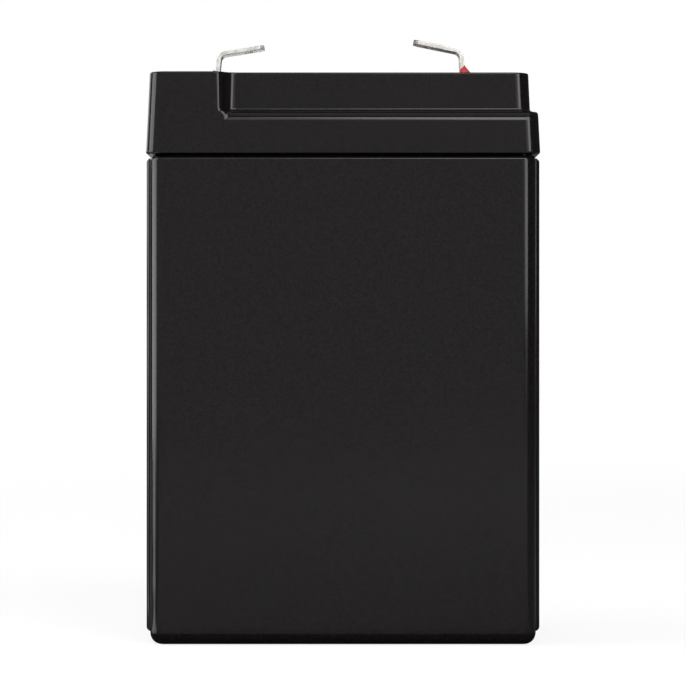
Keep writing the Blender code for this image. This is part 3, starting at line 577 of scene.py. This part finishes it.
def make_world():
    """A dark room, paler round the camera and faintly lit behind the battery; the camera sees white."""
    world = bpy.data.worlds.new("studio")
    bpy.context.scene.world = world
    world.use_nodes = True
    tree = world.node_tree
    direction = add(tree, "ShaderNodeTexCoord").outputs["Generated"]
    path = add(tree, "ShaderNodeLightPath")
    mirrored = larger(tree, path.outputs["Is Glossy Ray"], path.outputs["Is Transmission Ray"])
    backdrop = times(tree, cone(tree, direction, REAR_AXIS, REAR_CONE, ROOM_REAR), mirrored)
    room = larger(tree, cone(tree, direction, FRONT_AXIS, FRONT_CONE, ROOM_FRONT), backdrop)
    dark = add(tree, "ShaderNodeMath", {"operation": "MAXIMUM"})
    dark.inputs[1].default_value = ROOM_SIDE
    tree.links.new(room, dark.inputs[0])
    background = tree.nodes["Background"]
    level = larger(tree, path.outputs["Is Camera Ray"], dark.outputs[0])
    tree.links.new(level, background.inputs["Strength"])
    background.inputs["Color"].default_value = (1, 1, 1, 1)


def new_lamp(name, size_x, size_y, radiance):
    """A rectangular lamp with the same radiance at any size."""
    light = bpy.data.lights.new(name, "AREA")
    light.shape = "RECTANGLE"
    light.size = size_x
    light.size_y = size_y
    light.energy = radiance * math.pi * size_x * size_y
    return new_object(name, light)


def span(angles, distance):
    """The width that a range of degrees covers at a distance."""
    return 2 * distance * math.tan(math.radians(angles[1] - angles[0]) / 2)


def softbox(name, azimuths, elevations, distance, radiance):
    """A lamp aimed at the battery, between two azimuths and two elevations in degrees.

    Azimuth 0 is the camera's side and 90 the right.
    """
    lamp = new_lamp(name, span(azimuths, distance), span(elevations, distance), radiance)
    turn = math.radians(sum(azimuths) / 2)
    lift = math.radians(sum(elevations) / 2)
    away = Vector((
        math.sin(turn) * math.cos(lift),
        -math.cos(turn) * math.cos(lift),
        math.sin(lift),
    ))
    lamp.location = MIDDLE + distance * away
    lamp.rotation_euler = away.to_track_quat("Z", "Y").to_euler()


def card(name, low, high, radiance):
    """A lamp between two corners, unseen by the camera, at its middle in the plane of the corners."""
    lamp = new_lamp(name, high[0] - low[0], high[1] - low[1], radiance)
    lamp.visible_camera = False
    return lamp, (low[0] + high[0]) / 2, (low[1] + high[1]) / 2


def floor_card(name, low, high, radiance):
    """A card that lies on the floor and shines up, between two corners in x and y."""
    lamp, x, y = card(name, low, high, radiance)
    lamp.location = (x, y, CARD_HEIGHT)
    lamp.rotation_euler = (math.pi, 0, 0)


def rear_card(name, low, high, radiance):
    """A card that stands behind the battery and shines forward, between two corners in x and z."""
    lamp, x, z = card(name, low, high, radiance)
    lamp.location = (x, REAR_CARD_PLACE, z)
    lamp.rotation_euler = (-math.pi / 2, 0, 0)


CARD_HEIGHT = 0.0005
REAR_CARD_PLACE = 0.25

# Softboxes: azimuths, elevations, distance and radiance
SOFTBOXES = {
    "right_low_faint": ((20, 26), (1.0, 6), 1.1, 0.5),
    "right_low_dim": ((26, 32), (1.0, 6), 1.1, 1.6),
    "right_low_bright": ((32, 52), (1.0, 6), 1.1, 4.2),
    "right_mid_faint": ((9, 18), (6, 20), 1.1, 0.6),
    "right_mid_dim": ((18, 27), (6, 20), 1.1, 1.6),
    "right_mid_bright": ((27, 42), (6, 20), 1.1, 5.2),
    "right_high": ((5, 44), (21, 50), 1.1, 4.9),
    "left_faint": ((-26, 3), (21, 50), 1.1, 1.0),
    "left_low": ((-114, -68), (-2.8, 6), 1.0, 4.2),
    "left_high": ((-98, -61), (6, 42), 1.0, 4.2),
    "left_rear": ((-172, -118), (6, 30), 1.0, 1.6),
    "overhead": ((-30, 30), (66, 104), 1.3, 0.4),
}
# Cards: two corners and radiance
FLOOR_CARDS = {
    "left_card_near": ((-0.14, -0.032), (-0.050, -0.012), 2.2),
    "left_card_middle": ((-0.34, -0.055), (-0.14, 0.020), 2.6),
    "left_card_far": ((-1.0, -0.11), (-0.34, 0.10), 2.9),
}
REAR_CARD = ((-0.045, 0.050), (0.012, 0.150), 0.45)


def make_lights():
    for name, values in SOFTBOXES.items():
        softbox(name, *values)
    for name, values in FLOOR_CARDS.items():
        floor_card(name, *values)
    rear_card("rear_card", *REAR_CARD)


def make_camera():
    camera = bpy.data.cameras.new("camera")
    camera.sensor_width = SENSOR_MM
    camera.lens = FRONT_SCALE * CAMERA_DISTANCE * SENSOR_MM / PHOTO_SIDE
    camera.clip_start, camera.clip_end = CAMERA_CLIP
    holder = new_object("camera", camera)
    holder.location = (0, FRONT - CAMERA_DISTANCE, CAMERA_HEIGHT)
    holder.rotation_euler = (math.pi / 2, 0, 0)
    bpy.context.scene.camera = holder


make_camera()
make_world()
make_lights()
make_floor()
dress_parts()
bpy.context.scene.view_settings.view_transform = "Standard"
